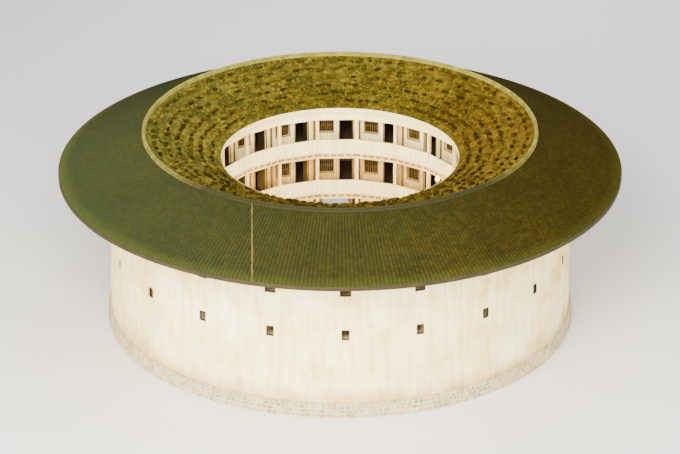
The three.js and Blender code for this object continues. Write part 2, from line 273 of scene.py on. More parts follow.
print("bays:", BAYS)

# %% [markdown]
# ## From a shape to a piece
# A piece rides on the house, takes a finish in its material slot, and may stand for a imported solid, which
# then hides. Smooth shading would blur the edges of timber and tile, so edges past an angle stay sharp.

# %% Piece helper
made = {}


def make_piece(name, shape, finish, stands_for=(), sharp=35, weld=0.0):
    """One mesh piece that rides on the house, with its faces turned outward."""
    vertices, faces = shape
    mesh = bpy.data.meshes.new(name)
    mesh.from_pydata(vertices.tolist(), [], faces)
    work = bmesh.new()
    work.from_mesh(mesh)
    if weld:
        bmesh.ops.remove_doubles(work, verts=work.verts, dist=weld)
    bmesh.ops.recalc_face_normals(work, faces=work.faces)
    work.to_mesh(mesh)
    work.free()
    mesh.materials.append(finish)
    mesh.shade_smooth()
    mesh.set_sharp_from_angle(angle=math.radians(sharp))
    piece = put(name, mesh)
    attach(piece, "root")
    if stands_for:
        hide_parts(*stands_for)
    made[name] = sum(len(p.vertices) - 2 for p in mesh.polygons)
    print(f"{name}: {made[name]} triangles")


print("piece helper ready")

# %% [markdown]
# ## Rammed earth
# Damp earth is rammed in layers between boards. Each lift leaves a faint level joint, and each length of
# formwork an upright one. A brick pattern draws both, made wavy so that it doesn't look printed. Over it lie
# clouds of tone, streaks where rain runs, grit, damp at the foot, and painted shade deep in the window tunnels
# and on the inner face, inside the rooms. Dry earth is as matt as a wall can be, so it takes light evenly and
# glows pale.

# %% Rammed earth finish
WALL_MEAN_R = 15.0
LIFT, FORMWORK = 0.40, 1.6


def rammed_earth(shades):
    finish, place, add = new_finish("rammed_earth", 0.93, 1.45, gloss=0.2)
    bearing, radius, height = ring_place(add, place)
    along = add("Math", [bearing, WALL_MEAN_R], operation="MULTIPLY")
    wavy = add("TexNoise", {"Vector": place, "Scale": per_metre(1100), "Detail": 3})
    wavy_height = add("Math", [wavy, 0.05, height], operation="MULTIPLY_ADD")
    lift = add("TexBrick", {
        "Vector": add("CombineXYZ", [along, wavy_height]), "Color1": (0.35, 0.35, 0.35, 1),
        "Color2": (0.75, 0.75, 0.75, 1), "Mortar": (0, 0, 0, 1), "Scale": 1.0, "Mortar Size": 0.012,
        "Mortar Smooth": 1.0, "Brick Width": FORMWORK, "Row Height": LIFT}, "Color", offset=0.37)
    clouds = add("TexNoise", {"Vector": place, "Scale": per_metre(2400), "Detail": 6})
    upright = add("VectorMath", [add("CombineXYZ", [along, height]), (1, 0.12, 1)], operation="MULTIPLY")
    streaks = add("TexNoise", {"Vector": upright, "Scale": per_metre(350), "Detail": 5})
    grit = add("TexNoise", {"Vector": place, "Scale": per_metre(35), "Detail": 2})  # real stones are 10 mm
    colour = add("ValToRGB", [clouds], stops=zip((0.30, 0.50, 0.72), shades))
    colour = add("Mix", {0: 0.34, 6: colour, 7: lift}, **MIX, blend_type="OVERLAY")
    washed = add("ValToRGB", [streaks], stops=[(0.33, "b99b6c"), (0.56, "ffffff")])
    colour = add("Mix", {0: 0.35, 6: colour, 7: washed}, **MULTIPLY)
    specks = add("ValToRGB", [grit], stops=[(0.30, "8f7a5a"), (0.42, "ffffff")])
    colour = add("Mix", {0: 0.35, 6: colour, 7: specks}, **MULTIPLY)
    rise = add("Math", [clouds, 1.25, height], operation="MULTIPLY_ADD")
    damp = add("ValToRGB", [add("Math", [rise, 5.0], operation="DIVIDE")],
               stops=[(0.28, "b08f5c"), (0.55, "ffffff")])
    colour = add("Mix", {0: 0.70, 6: colour, 7: damp}, **MULTIPLY)
    # Painted shade: near-black brown deep in the window tunnels and on the inner face, inside the rooms
    painted_shade_inside = add("MapRange", [radius, 14.15, 14.80, 0.90, 0.0])
    colour = add("Mix", {0: painted_shade_inside, 6: colour, 7: linear("3a2c18")}, **MIX)
    rough = add("Math", [grit, 0.35, clouds], operation="MULTIPLY_ADD")
    relief = add("Math", [lift.node.outputs["Fac"], -0.5, rough], operation="MULTIPLY_ADD")
    return surface(finish, add, colour, relief, 0.018)


earth = rammed_earth(("e2c87c", "f2dd9e", "fbecc0"))
print("rammed earth: lifts of", LIFT, "m, formwork of", FORMWORK, "m")

# %% [markdown]
# ## The grid of the earth wall
# The wall leans in as it rises, and steps back on its inner side where a floor rests. Its windows are deep
# tunnels. Cutting them with booleans would leave ragged faces, so the face is a grid whose lines follow the
# lifts and the edges of the holes, and the holes are cells that are left out.

# %% Wall grid
WALL_FOOT_R, WALL_TOP_R = 15.15, 14.85
WALL_LOW, WALL_HIGH = 1.0003, 11.65
WALL_INNER_R, LEDGES = (13.8, 13.9, 14.0), (4.28, 7.28)
SECOND_WINDOW = (0.25, 5.25, 5.95)  # half width, sill, head
THIRD_WINDOW = (0.35, 8.20, 9.10)
GATE, GATE_HALF, GATE_TOP = math.pi, 1.2497, 3.5003
ripple = rng.normal(0, 0.004, (97, 64))


def wall_outer_r(z):
    return WALL_FOOT_R + (WALL_TOP_R - WALL_FOOT_R) * (z - WALL_LOW) / (WALL_HIGH - WALL_LOW)


def wall_columns(bays, gate):
    """Grid lines across some bays, as bearing and shift sideways: even angles, and the edges of holes."""
    columns = []
    for bay in bays:
        left = [(-9, 0), (-7.7, 0), (-6.4, 0), (-5.1, 0), (-3.8, 0), (-2.6, 0),
                (0, -THIRD_WINDOW[0]), (0, -SECOND_WINDOW[0])]
        if gate and bay == BAYS // 2:
            left[3] = (0, -GATE_HALF)
        lines = left + [(0, 0)] + [(-angle, -shift) for angle, shift in reversed(left)]
        columns += [(BAY * bay + math.radians(angle), shift) for angle, shift in lines[1 if columns else 0:]]
    return np.array(columns).T[..., None]


def wall_rows():
    """Grid lines up the wall: the lifts, the edges of the holes, and both sides of each ledge."""
    cuts = {WALL_LOW, WALL_HIGH, GATE_TOP, 4.28, 4.282, 7.28, 7.282, *SECOND_WINDOW[1:], *THIRD_WINDOW[1:]}
    lifts = np.arange(WALL_LOW + LIFT, WALL_HIGH - 0.1, LIFT)
    cuts |= {round(z, 4) for z in lifts if min(abs(z - c) for c in cuts) > 0.06}
    return np.array(sorted(cuts))


def solid_cells(bearing, rows, gate):
    """Which cells of the grid are earth, with an empty rim of cells round them."""
    middle = (bearing[1:] + bearing[:-1]) / 2
    aside = np.abs((middle + BAY / 2) % BAY - BAY / 2) * WALL_MEAN_R
    height = (rows[1:] + rows[:-1]) / 2
    solid = np.ones((len(middle), len(height)), bool)
    for half, sill, head in (SECOND_WINDOW, THIRD_WINDOW):
        solid &= ~((aside < half) & (sill < height) & (height < head))
    if gate:
        solid &= ~((aside < GATE_HALF) & (abs(middle - GATE) < BAY / 2) & (height < GATE_TOP))
    return np.pad(solid, 1)


print("wall rows:", len(wall_rows()))

# %% [markdown]
# ## The earth wall
# The same grid makes the inner face, and a side joins the two faces wherever a cell of earth meets a hole or
# an end. A few millimetres of ripple keep the outer face from looking machined.

# %% Earth wall
def wall_segment(name, first_bay, last_bay, node_names, gate=False):
    """A closed length of wall over whole bays, with its windows and, in the gate bay, the gate's slot."""
    bearing, shift = wall_columns(range(first_bay, last_bay + 1), gate)
    rows = wall_rows()
    shake = ripple[(np.arange(len(bearing)) + 17 * first_bay) % 97, :len(rows)]
    inner_r = np.take(WALL_INNER_R, np.searchsorted(LEDGES, rows))
    outer, inner = (point(bearing, np.sqrt(radius ** 2 - shift ** 2), rows, shift).reshape(-1, 3)
                    for radius in (wall_outer_r(rows) + shake, inner_r))
    solid = solid_cells(bearing + shift / WALL_MEAN_R, rows, gate)
    faces = []
    for c, r in np.argwhere(solid) - 1:
        quad = [(c + right) * len(rows) + r + up for right, up in ((0, 0), (1, 0), (1, 1), (0, 1))]
        faces += [quad, [len(outer) + k for k in reversed(quad)]]
        for side, (beside, above) in enumerate(((0, -1), (1, 0), (0, 1), (-1, 0))):
            if not solid[c + 1 + beside, r + 1 + above]:
                a, b = quad[side], quad[(side + 1) % 4]
                faces.append([b, a, len(outer) + a, len(outer) + b])
    used, faces = np.unique(faces, return_inverse=True)
    shape = np.concatenate([outer, inner])[used], faces.reshape(-1, 4).tolist()
    make_piece(name, shape, earth, node_names, sharp=30)


wall_segment("rammed_earth_front", 0, 0, ("earth_wall_front",))
for side, bays in (("right", ((1, 3), (4, 6))), ("left", ((17, 19), (14, 16)))):
    for part, (first, last) in enumerate(bays, 1):
        wall_segment(f"rammed_earth_{side}_{part}", first, last, (f"earth_wall_{side}_{part}",))
wall_segment("rammed_earth_gate", 7, 13,
             ("earth_wall_right_3", "earth_wall_left_3", "earth_wall_over_gate"), gate=True)

# %% [markdown]
# ## The lie of the roof
# A ring roof is two cones that meet at the ridge. One function gives the height of the tiled surface at any
# radius, so that everything on the roof sits on it.

# %% Roof heights
RIDGE_R, RIDGE_Z = 12.70, 13.00
OUTER_EAVE_R, OUTER_EAVE_Z = 18.30, 10.50
INNER_EAVE_R, INNER_EAVE_Z = 7.70, 11.09
OUTER_FALL = (RIDGE_Z - OUTER_EAVE_Z) / (OUTER_EAVE_R - RIDGE_R)
INNER_FALL = (RIDGE_Z - INNER_EAVE_Z) / (RIDGE_R - INNER_EAVE_R)


def roof_z(radius):
    """Height of the tiled surface at a radius."""
    radius = np.asarray(radius, float)
    out = radius - RIDGE_R
    return RIDGE_Z - np.where(out > 0, out * OUTER_FALL, -out * INNER_FALL)


print("roof falls", [round(math.degrees(math.atan(fall)), 1) for fall in (OUTER_FALL, INNER_FALL)], "degrees")

# %% [markdown]
# ## Grey roof tile
# Thin unglazed clay tiles are laid dry: dished pan tiles make channels down the slope, and round cover tiles
# bridge them. Fired grey, they weather to olive and brown. One picture for the whole roof would show no
# single tile, so noise over its column and course number gives each tile its own tone. Dusty clay has almost
# no gloss, which keeps the colours deep. In the photograph the left side is greener, the edge at the eave
# lighter, and the inner slope mottled. The right side is darkened towards brown as painted shade, and the
# inner slope's tile is paler than the outer one as painted light.

# %% Tile finishes
OUTER_COLUMNS, INNER_COLUMNS = 440, 320
EXPOSURE = 0.17  # how much of each tile shows down the slope


def grey_tile(name, columns, shades, moss, dust, right, eave_tint, mottle, patchy):
    """Fired clay in three tones. Moss is its colour, dust, eave_tint and mottle are shares from 0 to 1, right
    is the colour and share of the painted shade on the right, and patchy is how uneven the moss is."""
    finish, place, add = new_finish(name, 0.9, gloss=0.04)
    bearing, radius, height = ring_place(add, place)
    x = add("SeparateXYZ", [place], "X")
    column = add("Math", [bearing, columns / (2 * math.pi)], operation="MULTIPLY")
    course = add("Math", [radius, EXPOSURE], operation="DIVIDE")
    tile = add("CombineXYZ", [add("Math", [count], operation="FLOOR") for count in (column, course)])
    own = add("TexWhiteNoise", {"Vector": tile}, "Value", noise_dimensions="2D")
    clouds = add("TexNoise", {"Vector": place, "Scale": per_metre(3200), "Detail": 5})
    tone = add("Math", [own, 0.45, add("Math", [clouds, 0.62], operation="MULTIPLY")],
               operation="MULTIPLY_ADD")
    colour = add("ValToRGB", [tone], stops=zip((0.25, 0.52, 0.80), shades))
    # Moss, in cushions 500 mm across, more of it towards the left
    patches = add("TexNoise", {"Vector": place, "Scale": per_metre(500), "Detail": 5, "Roughness": 0.7})
    even = add("Math", [patches, patchy, 0.5 - patchy / 2], operation="MULTIPLY_ADD")
    damp_side = add("MapRange", [x, 20.0, -20.0, -0.22, 0.22])
    growth = add("ValToRGB", [add("Math", [even, damp_side], operation="ADD")],
                 stops=[(0.35, 0.0), (0.75, 0.8)])
    colour = add("Mix", {0: growth, 6: colour, 7: linear(moss)}, **MIX)
    # Dark dashes along the ring, 830 mm long and 280 mm wide
    along = add("Math", [bearing, 10.0], operation="MULTIPLY")
    rows = add("CombineXYZ", [add("Math", [along, per_metre(830)], operation="MULTIPLY"),
                              add("Math", [radius, per_metre(280)], operation="MULTIPLY")])
    dashes = add("ValToRGB", [add("TexNoise", {"Vector": rows, "Scale": 1.0, "Detail": 3})],
                 stops=[(0.40, 0.25), (0.58, 1.0)])
    colour = add("Mix", {0: mottle, 6: colour, 7: dashes}, **MULTIPLY)
    # Dust in a grain of 20 mm; real grit is 2 mm
    grain = add("TexNoise", {"Vector": place, "Scale": per_metre(20), "Detail": 2})
    settled = add("ValToRGB", [grain], stops=[(0.45, 0.0), (0.80, dust)])
    colour = add("Mix", {0: settled, 6: colour, 7: linear("8a7824")}, **MIX)
    at_eave = add("MapRange", [radius, 17.5, OUTER_EAVE_R, 0.0, eave_tint])
    colour = add("Mix", {0: at_eave, 6: colour, 7: linear("5a6228")}, **MIX)
    # Painted shade: the right side of each slope darkens towards the colour given in right
    toward_right = add("Math", [x, radius], operation="DIVIDE")
    painted_shade_right = add("MapRange", [toward_right, 0.25, 1.0, 0.0, right[1]])
    colour = add("Mix", {0: painted_shade_right, 6: colour, 7: linear(right[0])}, **MIX)
    step = add("Math", [course], operation="FRACT")
    relief = add("Math", [grain, 0.25, step], operation="MULTIPLY_ADD")
    return surface(finish, add, colour, relief, 0.012)


outer_tile = grey_tile("grey_clay_tile", OUTER_COLUMNS, ("242006", "2d2707", "38300b"), moss="233120",
                       dust=0.08, right=("171000", 0.45), eave_tint=0.22, mottle=0.12, patchy=0.45)
# The inner slope's tile is paler than the outer one: painted light, with more dust as well
lit_inner_tile = grey_tile("dusty_clay_tile_painted_light", INNER_COLUMNS, ("3d330c", "685714", "937c26"), moss="36451e",
                       dust=0.2, right=("3c2604", 0.55), eave_tint=0.0, mottle=0.66, patchy=1.0)
print("tile width at the outer eave:", round(2 * math.pi * OUTER_EAVE_R / OUTER_COLUMNS, 3), "m")

# %% [markdown]
# ## Sawn and weathered fir
# The frame and the boards are bare fir: matt, with its grain along each member. A picture of wood would need
# unwrapping on thousands of members; instead one recipe stretches noise along the grain, which runs up, round
# the ring or along a radius. Old fir under a roof is brown. Pale honey and near-white fir in the galleries and
# at the courtyard's eave is painted light; near-black fir at the outer eave, on the third storey's doors and in
# the windows is painted shade, and painted shade darkens the floors inside the rooms.

# %% Fir finish
GALLERY_R = 8.65  # centre line of the gallery posts


def fir(name, shades, grain_way, board=0.0, painted_shade_inside=0.0):
    """Fir with its grain "up", "round" the ring or "radial", and joints between boards of that width.
    Painted shade darkens what lies behind the room walls, inside the rooms, by the share given."""
    finish, place, add = new_finish(name, 0.72, gloss=0.3)
    bearing, radius, height = ring_place(add, place)
    along = add("Math", [bearing, GALLERY_R], operation="MULTIPLY")
    stretch = {"up": (1, 1, 0.06), "round": (0.06, 1, 1), "radial": (1, 0.06, 1)}[grain_way]
    fibres = add("VectorMath", [add("CombineXYZ", [along, radius, height]), stretch], operation="MULTIPLY")
    # Growth rings are 3 mm apart; bands of 35 mm show from this far
    grain = add("TexNoise", {"Vector": fibres, "Scale": per_metre(35), "Detail": 4, "Roughness": 0.65})
    clouds = add("TexNoise", {"Vector": place, "Scale": per_metre(1300), "Detail": 4})
    tone = add("Math", [grain, 0.6, add("Math", [clouds, 0.4], operation="MULTIPLY")],
               operation="MULTIPLY_ADD")
    colour = add("ValToRGB", [tone], stops=zip((0.33, 0.50, 0.68), shades))
    relief = grain
    if painted_shade_inside:
        # Painted shade: fir past the room walls darkens, inside the rooms
        inside = add("MapRange", [radius, 9.9, 10.3, 0.0, painted_shade_inside])
        colour = add("Mix", {0: inside, 6: colour, 7: linear("1c130a")}, **MIX)
    if board:
        count = add("Math", [along if grain_way == "up" else height, board], operation="DIVIDE")
        number = add("Math", [count], operation="FLOOR")
        own = add("ValToRGB", [add("TexWhiteNoise", {"W": number}, "Value", noise_dimensions="1D")],
                  stops=[(0.0, 0.72), (1.0, 1.0)])
        colour = add("Mix", {0: 0.6, 6: colour, 7: own}, **MULTIPLY)
        edge = add("Math", [count, 0.5], operation="PINGPONG")
        joint = add("Math", [edge, 0.04], operation="LESS_THAN")
        shadow = add("Math", [joint, 0.75], operation="MULTIPLY")
        colour = add("Mix", {0: shadow, 6: colour, 7: linear("4b3a26")}, **MULTIPLY)
        relief = add("Math", [add("Math", [grain, 0.4], operation="MULTIPLY"), joint], operation="SUBTRACT")
    return surface(finish, add, colour, relief, 0.004)


# %% Fir colours
OLD_FIR = ("5a4028", "7d5c39", "9c7a50")
BOARD = 0.19
# Pale honey fir for posts, floor edges and gate: painted light
lit_fir_post = fir("fir_upright_painted_light", ("b8964e", "dcbc74", "efd898"), "up")
fir_ring = fir("weathered_fir_round", OLD_FIR, "round")
fir_beam = fir("weathered_fir_radial", OLD_FIR, "radial")
# Near-white boards: painted light. The second storey's golden boards: painted light, dimmed by painted shade
# under the third gallery
lit_fir_boards = fir("fir_boards_painted_light", ("ecd07e", "f8e39e", "fdf0c2"), "up", board=BOARD)
half_lit_boards = fir("golden_fir_boards_painted_half_shade", ("b4873a", "d2a552", "e8c67c"), "up", board=BOARD)
# Old brown fir for the floors, with painted shade inside the rooms
fir_floor = fir("fir_floor_boards", OLD_FIR, "round", painted_shade_inside=0.85)
# Outer eave board near black: painted shade. Inner eave board pale: painted light
shaded_outer_eave_fir = fir("fir_outer_eave_board_painted_shade", ("1a1500", "261f01", "352c04"), "round")
lit_inner_eave_fir = fir("fir_inner_eave_board_painted_light", ("c4b070", "d8c88c", "e8dca8"), "round")
fir_door = fir("weathered_fir_door", ("4e3a18", "6e5424", "8c6e34"), "up")
# Near-black doors of the third storey: painted shade
shaded_fir_door = fir("fir_door_painted_shade", ("241a0c", "34270f", "483616"), "up")
# Near-black window frames and bars: painted shade
shaded_fir_window = fir("fir_window_painted_shade", ("1a1308", "281e0e", "3a2d18"), "up")
print("boards are", BOARD, "m wide")

# %% [markdown]
# ## The roof deck and its rafters
# Under the tiles lie thin battens on rafters, and the rafters show under the wide eaves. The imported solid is
# one thick deck; here it becomes a thin tiled layer over separate rafters, inside the same depth. Separate
# pan tiles would cost many faces that the cover tiles hide, so a stepped profile is turned round the axis.

# %% Roof decks and rafters
PAN_DROP, LAYER, DECK = 0.045, 0.09, 0.26
RAFTER_HALF, RING_SIDES = 0.045, 240


def pan_tiles(name, ridge, eave, finish, node):
    """Courses of pan tiles from the ridge to an eave; each lower edge stands a tile's thickness proud."""
    edges = np.linspace(ridge, eave, round(abs(eave - ridge) / EXPOSURE) + 1)
    profile = []
    for upper, lower in zip(edges[:-1], edges[1:]):
        profile += [(upper, roof_z(upper) - PAN_DROP - 0.018), (lower, roof_z(lower) - PAN_DROP)]
    profile += [(r, roof_z(r) - PAN_DROP - LAYER) for r in (eave, ridge)]
    make_piece(name, turned(profile, RING_SIDES), finish, (node,))


def rafters(name, count, near, far):
    low_n, low_f = (roof_z(r) - DECK + 0.004 for r in (near, far))
    high_n, high_f = (roof_z(r) - PAN_DROP - LAYER + 0.01 for r in (near, far))
    rows = [(bearing, -RAFTER_HALF, RAFTER_HALF, near, far, low_n, high_n, low_f, high_f)
            for bearing in (np.arange(count) + 0.5) * 2 * math.pi / count]
    make_piece(name, members(rows), fir_beam)


pan_tiles("outer_pan_tiles", 12.70, 18.22, outer_tile, "roof_outer_slope")
pan_tiles("inner_pan_tiles", 12.70, 7.76, lit_inner_tile, "roof_inner_slope")
rafters("outer_rafters", 200, 12.72, 18.20)
rafters("inner_rafters", 140, 7.78, 12.68)

# %% [markdown]
# ## Cover tiles
# A cover tile is half a clay tube, a little wider at its lower end, which laps over the tile below it. On a
# ring roof the columns crowd together towards the smaller circle. Thousands of separate tiles would be slow,
# so each column is one tube of short tiles, with a step at every lap and a small random shift.

# %% Cover tiles
WIDEST, COLUMN_SHARE = 0.145, 0.80  # a cover tile, in metres and as a share of its column
UPPER_END, LOWER_END = (0.93, 0.046), (1.03, 0.062)  # share of the width, and rise in metres
TILE_FOOT = -0.012


def cover_tiles(name, columns, which, start_r, end_r, finish):
    """Columns of cover tiles from the ridge down to an eave, as one closed tube each."""
    courses = round(abs(end_r - start_r) / EXPOSURE)
    radii = np.linspace(start_r, end_r, courses + 1)
    bearings = (which + 0.5) * 2 * math.pi / columns
    width = min(WIDEST, 2 * math.pi * min(start_r, end_r) / columns * COLUMN_SHARE)
    ends = []
    for r, (flare, rise) in ((radii[:-1], UPPER_END), (radii[1:], LOWER_END)):
        lateral = np.array([-1.0, -0.55, 0.55, 1.0]) * (width / 2 * flare)
        lift = np.array([TILE_FOOT, rise * 0.92, rise * 0.92, TILE_FOOT])
        sway = wander[which][:, None, None] * np.sin(r * 1.7 + which[:, None] * 0.3)[..., None]
        jitter = rng.normal(0, 0.003, (len(which), courses, 1)) + sway
        shift = rng.normal(0, 0.002, (len(which), courses, 1))
        z = (roof_z(r) - PAN_DROP)[None, :, None] + lift + shift
        ends.append(point(bearings[:, None, None], r[None, :, None], z, lateral + jitter))
    rings = np.stack(ends, 2).reshape(len(which), courses * 2, 4, 3)
    make_piece(name, tubes(rings), finish, sharp=50)


wander = rng.normal(0, 0.004, OUTER_COLUMNS)
for quarter, side in enumerate(("front_right", "back_right", "back_left", "front_left")):
    outer_share, inner_share = (np.arange(columns // 4) + quarter * columns // 4
                                for columns in (OUTER_COLUMNS, INNER_COLUMNS))
    cover_tiles(f"outer_cover_tiles_{side}", OUTER_COLUMNS, outer_share, 12.86, 18.24, outer_tile)
    cover_tiles(f"inner_cover_tiles_{side}", INNER_COLUMNS, inner_share, 12.54, 7.75, lit_inner_tile)

# %% [markdown]
# ## The ridge
# The ridge is bedded in lime mortar: two courses of flat tile stick out of it, and a row of round tiles caps
# it. Lime is chalky and pale, and weathers to olive; along the front it is darkened to near black as painted
# shade. The bed is a profile turned round the axis, because it runs on without a joint. The round tiles are
# short lengths with a lap every 250 mm.

# %% Lime mortar
def lime_mortar(name, shades, painted_front_shade=0.0):
    """Weathered lime in three tones, with painted shade over the share given on the side that faces front."""
    finish, place, add = new_finish(name, 0.92, gloss=0.2)
    clouds = add("TexNoise", {"Vector": place, "Scale": per_metre(600), "Detail": 5, "Roughness": 0.65})
    grit = add("TexNoise", {"Vector": place, "Scale": per_metre(30), "Detail": 3})  # real sand is 2 mm
    colour = add("ValToRGB", [clouds], stops=zip((0.32, 0.52, 0.72), shades))
    specks = add("ValToRGB", [grit], stops=[(0.35, "8a8064"), (0.50, "ffffff")])
    colour = add("Mix", {0: 0.35, 6: colour, 7: specks}, **MULTIPLY)
    if painted_front_shade:
        # Painted shade, near black, on the side that faces front
        front = add("MapRange", [add("SeparateXYZ", [place], "Y"), -9.5, -3.0, painted_front_shade, 0.0])
        colour = add("Mix", {0: front, 6: colour, 7: linear("1c1b07")}, **MIX)
    relief = add("Math", [grit, 0.5, clouds], operation="MULTIPLY_ADD")
    return surface(finish, add, colour, relief, 0.012)


mortar = lime_mortar("weathered_lime_mortar", ("625c22", "7e782e", "979040"), painted_front_shade=0.96)
print("lime mortar ready")

# %% Ridge
RIDGE_TILES, CAP_Z, CAP_HALF, CAP_RISE = 320, 13.10, 0.075, 0.085
right_half = [(0.125, -0.11), (0.125, -0.02), (0.09, 0.025), (0.115, 0.03), (0.115, 0.05), (0.085, 0.055),
              (0.105, 0.09), (0.105, 0.106), (0.07, 0.11)]  # across the ridge and up, foot to top
profile = [(0, -0.08)] + right_half + [(-across, up) for across, up in reversed(right_half)]
make_piece("ridge_mortar", turned([(RIDGE_R + across, RIDGE_Z + up) for across, up in profile], RING_SIDES),
           mortar, ("ridge_cap",))

arc = np.radians(np.linspace(0, 180, 6))
turns = np.arange(RIDGE_TILES)[:, None] * 2 * math.pi / RIDGE_TILES
ends = [point(turns + lap * 2 * math.pi / RIDGE_TILES, RIDGE_R + np.cos(arc) * CAP_HALF * size,
              CAP_Z + np.sin(arc) * CAP_RISE * size) for lap, size in ((-0.02, 1.0), (1.02, 0.9))]
make_piece("ridge_cap_tiles", tubes(np.stack(ends, 1)), mortar, sharp=40)

# %% [markdown]
# ## River stone
# River stones are worn round, but dry and dusty they are dull. Each has its own tone, with faint veins.
# Copies of one ball would look cast, so every stone takes its own size, turn and small dents. The ball is
# squared a little first, because worn stones are blocky.

# %% River stones
def river_stone(name, shades, gloss=0.2):
    """Worn stone whose tone changes every 380 mm, about the length of one stone."""
    finish, place, add = new_finish(name, 0.85, 1.55, gloss=gloss)
    cells = add("TexVoronoi", {"Vector": place, "Scale": per_metre(380)}, "Color", feature="F1")
    own = add("SeparateColor", [cells], "Red")
    grain = add("TexNoise", {"Vector": place, "Scale": per_metre(20), "Detail": 3})  # real crystals are 2 mm
    veins = add("TexNoise", {"Vector": place, "Scale": per_metre(150), "Detail": 4})
    colour = add("ValToRGB", [own], stops=zip((0.0, 0.5, 1.0), shades))
    marks = add("ValToRGB", [veins], stops=[(0.35, "9b9484"), (0.60, "ffffff")])
    colour = add("Mix", {0: 0.5, 6: colour, 7: marks}, **MULTIPLY)
    return surface(finish, add, colour, add("Math", [grain, veins], operation="ADD"), 0.006)


def rounded_stones(centres, sizes, turns, dents):
    """Copies of one rounded stone. Sizes are across, along the radius and up; turns are their bearings."""
    work = bmesh.new()
    bmesh.ops.create_icosphere(work, subdivisions=2, radius=1.0)
    ball = np.array([v.co[:] for v in work.verts])
    facets = np.array([[v.index for v in f.verts] for f in work.faces])
    work.free()
    ball = np.sign(ball) * np.abs(ball) ** 0.75
    ball /= np.abs(ball).max(axis=0)
    count = len(centres)
    shape = ball[None] * (1 + rng.uniform(-dents, dents, (count, len(ball), 1)))
    shape = shape * np.asarray(sizes)[:, None, :] / 2
    vertices = point(np.array(turns)[:, None], shape[..., 1], shape[..., 2], shape[..., 0])
    vertices += np.asarray(centres)[:, None, :]
    faces = facets[None] + len(ball) * np.arange(count)[:, None, None]
    return vertices.reshape(-1, 3), faces.reshape(-1, 3).tolist()


print("stone helpers ready")

# %% [markdown]
# ## Weight stones
# Storms lift dry tiles, so the people who tend such a roof lay stones on it in rings, closest together near
# the courtyard eave. From afar they read as dark dashed rings on the inner slope.

# %% Stones on the roof
STONE_RINGS = ((12.05, 1.0), (11.25, 0.9), (10.50, 0.75), (9.75, 0.62), (9.05, 0.55), (8.35, 0.5))
SMALLEST, LARGEST, MISSING = (0.34, 0.20, 0.12), (0.56, 0.30, 0.19), 0.06
roof_stone = river_stone("roof_weight_stone", ("241b01", "352903", "5e4d12"), gloss=0.03)
centres, sizes, turns = [], [], []
for radius, spacing in STONE_RINGS:
    count = int(2 * math.pi * radius / spacing)
    for bearing in (np.arange(count) + rng.uniform(-0.15, 0.15, count)) * 2 * math.pi / count:
        if rng.random() < MISSING:
            continue
        r = radius + rng.normal(0, 0.035)
        size = rng.uniform(SMALLEST, LARGEST)
        centres.append(point(bearing, r, roof_z(r) + 0.01 + size[2] * 0.38))
        sizes.append(size)
        turns.append(bearing + rng.normal(0, 0.25))
make_piece("roof_weight_stones", rounded_stones(centres, sizes, turns, dents=0.09), roof_stone,
           sharp=60)
print(len(centres), "weight stones")

# %% [markdown]
# ## The mortar seam on the front slope
# The photograph shows one thin line down the front slope, left of the middle. Where blocks of parallel tiles
# meet on a ring roof, the cut tiles are bedded in mortar, so it is read as a low strip of dusty lime. Paint
# on the tiles would vanish from the side, so it is a tube with its own width and wobble.

# %% Mortar seam
SEAM_X, SEAM_HALF, SEAM_POINTS = -5.66, 0.06, 44
top_y, eave_y = (-math.sqrt(radius ** 2 - SEAM_X ** 2) for radius in (12.84, 18.22))
seam_y = np.linspace(top_y, eave_y, SEAM_POINTS)
seam_z = roof_z(np.hypot(SEAM_X, seam_y))
wobble = rng.normal(0, 0.012, SEAM_POINTS)
width = SEAM_HALF + rng.normal(0, 0.008, SEAM_POINTS)
section = [np.stack([SEAM_X + wobble + side * width, seam_y, seam_z + lift], -1)
           for side, lift in ((-1.0, -0.03), (-0.7, 0.035), (0.0, 0.052), (0.7, 0.035), (1.0, -0.03))]
seam_mortar = lime_mortar("dusty_seam_mortar", ("463c14", "584d1c", "685c26"))
make_piece("roof_mortar_seam", tubes(np.stack(section, 1)[None]), seam_mortar, sharp=60)

# %% [markdown]
# ## Eave boards
# A thin board closes the rafter ends at each eave. A carpenter butts many straight boards; at this size the
# joints show and the bends do not, so each board is a short curved length with a 6 mm joint.

# %% Eave boards
JOINT, BOARD_DROP = 0.006, 0.02


def eave_boards(name, inner, outer, count, parts, finish, node):
    """Curved boards end to end round the ring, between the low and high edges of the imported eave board."""
    low, high = (float(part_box(node)[k][2]) for k in (0, 1))
    high -= BOARD_DROP
    bearings = np.linspace(np.arange(count), np.arange(1, count + 1), parts + 1, axis=1) * 2 * math.pi / count
    bearings[:, 0] += JOINT / 2 / outer
    bearings[:, -1] -= JOINT / 2 / outer
    rings = point(bearings[..., None], [inner, outer, outer, inner], [low, low, high, high])
    make_piece(name, tubes(rings), finish, (node,))


eave_boards("outer_eave_boards", 18.245, 18.283, 40, 8, shaded_outer_eave_fir, "outer_eave_fascia")
eave_boards("inner_eave_boards", 7.70, 7.738, 20, 12, lit_inner_eave_fir, "inner_eave_fascia")

# %% [markdown]
# ## River-stone plinth
# Rammed earth must stay dry, so it stands on a metre of river stones in rough courses, with earth and lime
# between them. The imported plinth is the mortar, and the stones are set in its face. A pattern alone would
# leave the foot of the wall smooth, where light from the side should catch every stone.

